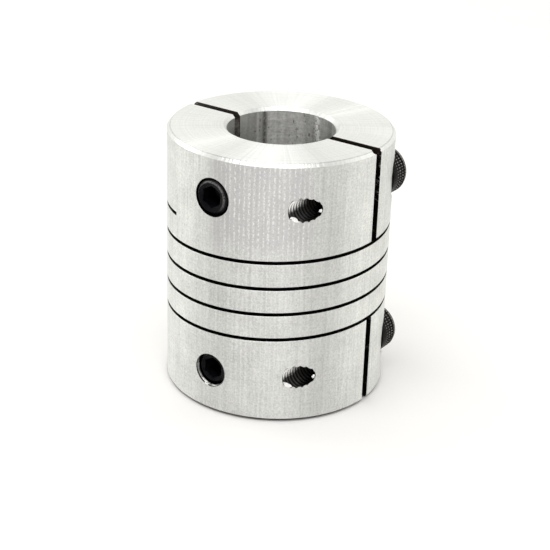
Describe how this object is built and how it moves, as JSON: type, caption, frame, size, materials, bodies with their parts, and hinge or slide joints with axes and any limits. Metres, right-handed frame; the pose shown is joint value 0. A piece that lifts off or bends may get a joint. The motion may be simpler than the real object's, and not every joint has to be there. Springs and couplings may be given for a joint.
{
  "type": "beam coupling",
  "caption": "One-piece helical beam shaft coupling with split clamping hubs, socket-head clamp screws and radial set screws.",
  "frame": {"origin": "centre of the lower end face, on the shaft axis", "axes": "+Z along the shaft axis to the upper hub, +X from the axis to the open side of both splits and the clamp screws, set screws point along -Y"},
  "size_m": [0.025, 0.0251, 0.03],
  "materials": {
    "aluminium": "bright machined, fine turning marks",
    "black_oxide_steel": "black oxide on alloy steel, semi-gloss"
  },
  "bodies": {
    "lower_hub": {"lower_hub": "aluminium"},
    "lower_clamp_jaw": {"lower_clamp_jaw": "aluminium"},
    "lower_clamp_screw": {"lower_clamp_screw": "black_oxide_steel"},
    "lower_set_screw": {"lower_set_screw": "black_oxide_steel"},
    "beam_length_1": {"beam_length_1": "aluminium"},
    "beam_length_2": {"beam_length_2": "aluminium"},
    "beam_length_3": {"beam_length_3": "aluminium"},
    "beam_length_4": {"beam_length_4": "aluminium"},
    "beam_length_5": {"beam_length_5": "aluminium"},
    "upper_hub": {"upper_hub": "aluminium"},
    "upper_clamp_jaw": {"upper_clamp_jaw": "aluminium"},
    "upper_clamp_screw": {"upper_clamp_screw": "black_oxide_steel"},
    "upper_set_screw": {"upper_set_screw": "black_oxide_steel"}
  },
  "joints": [
    {"name": "lower_bend_about_x", "type": "hinge", "parent": "lower_hub", "child": "beam_length_1", "pos_m": [0, 0, 0.01002], "axis": [1, 0, 0], "range_deg": [-0.9, 0.9], "stiffness_Nm_per_rad": 7.3},
    {"name": "lower_bend_about_y", "type": "hinge", "parent": "beam_length_1", "child": "beam_length_2", "pos_m": [0, 0, 0.01201], "axis": [0, 1, 0], "range_deg": [-0.9, 0.9], "stiffness_Nm_per_rad": 7.3},
    {"name": "beam_twist", "type": "hinge", "parent": "beam_length_2", "child": "beam_length_3", "pos_m": [0, 0, 0.014], "axis": [0, 0, 1], "range_deg": [-3, 3], "stiffness_Nm_per_rad": 21},
    {"name": "beam_stretch", "type": "slide", "parent": "beam_length_3", "child": "beam_length_4", "axis": [0, 0, 1], "range_m": [-0.00015, 0.00015], "stiffness_N_per_m": 45000},
    {"name": "upper_bend_about_y", "type": "hinge", "parent": "beam_length_4", "child": "beam_length_5", "pos_m": [0, 0, 0.01799], "axis": [0, 1, 0], "range_deg": [-0.9, 0.9], "stiffness_Nm_per_rad": 7.3},
    {"name": "upper_bend_about_x", "type": "hinge", "parent": "beam_length_5", "child": "upper_hub", "pos_m": [0, 0, 0.01998], "axis": [1, 0, 0], "range_deg": [-0.9, 0.9], "stiffness_Nm_per_rad": 7.3},
    {"name": "lower_clamp_turn", "type": "hinge", "parent": "lower_hub", "child": "lower_clamp_screw", "pos_m": [0.009, 0.0047, 0.0055], "axis": [0, -1, 0], "range_deg": [0, 180]},
    {"name": "lower_jaw_close", "type": "hinge", "parent": "lower_hub", "child": "lower_clamp_jaw", "pos_m": [-0.00925, 0, 0.0055], "axis": [0, 0, 1], "range_deg": [0, 0.8]},
    {"name": "lower_set_screw_travel", "type": "slide", "parent": "lower_clamp_jaw", "child": "lower_set_screw", "axis": [0, 1, 0], "range_m": [-0.004, 0.001]},
    {"name": "upper_jaw_close", "type": "hinge", "parent": "upper_hub", "child": "upper_clamp_jaw", "pos_m": [-0.00925, 0, 0.025], "axis": [0, 0, -1], "range_deg": [0, 0.8]},
    {"name": "upper_clamp_turn", "type": "hinge", "parent": "upper_clamp_jaw", "child": "upper_clamp_screw", "pos_m": [0.009, 0.0047, 0.025], "axis": [0, -1, 0], "range_deg": [0, 180]},
    {"name": "upper_set_screw_travel", "type": "slide", "parent": "upper_hub", "child": "upper_set_screw", "axis": [0, 1, 0], "range_m": [-0.004, 0.0016]}
  ],
  "couplings": [
    {"joint": "lower_jaw_close", "follows": "lower_clamp_turn", "ratio": 0.0043604},
    {"joint": "upper_jaw_close", "follows": "upper_clamp_turn", "ratio": 0.0043604}
  ]
}
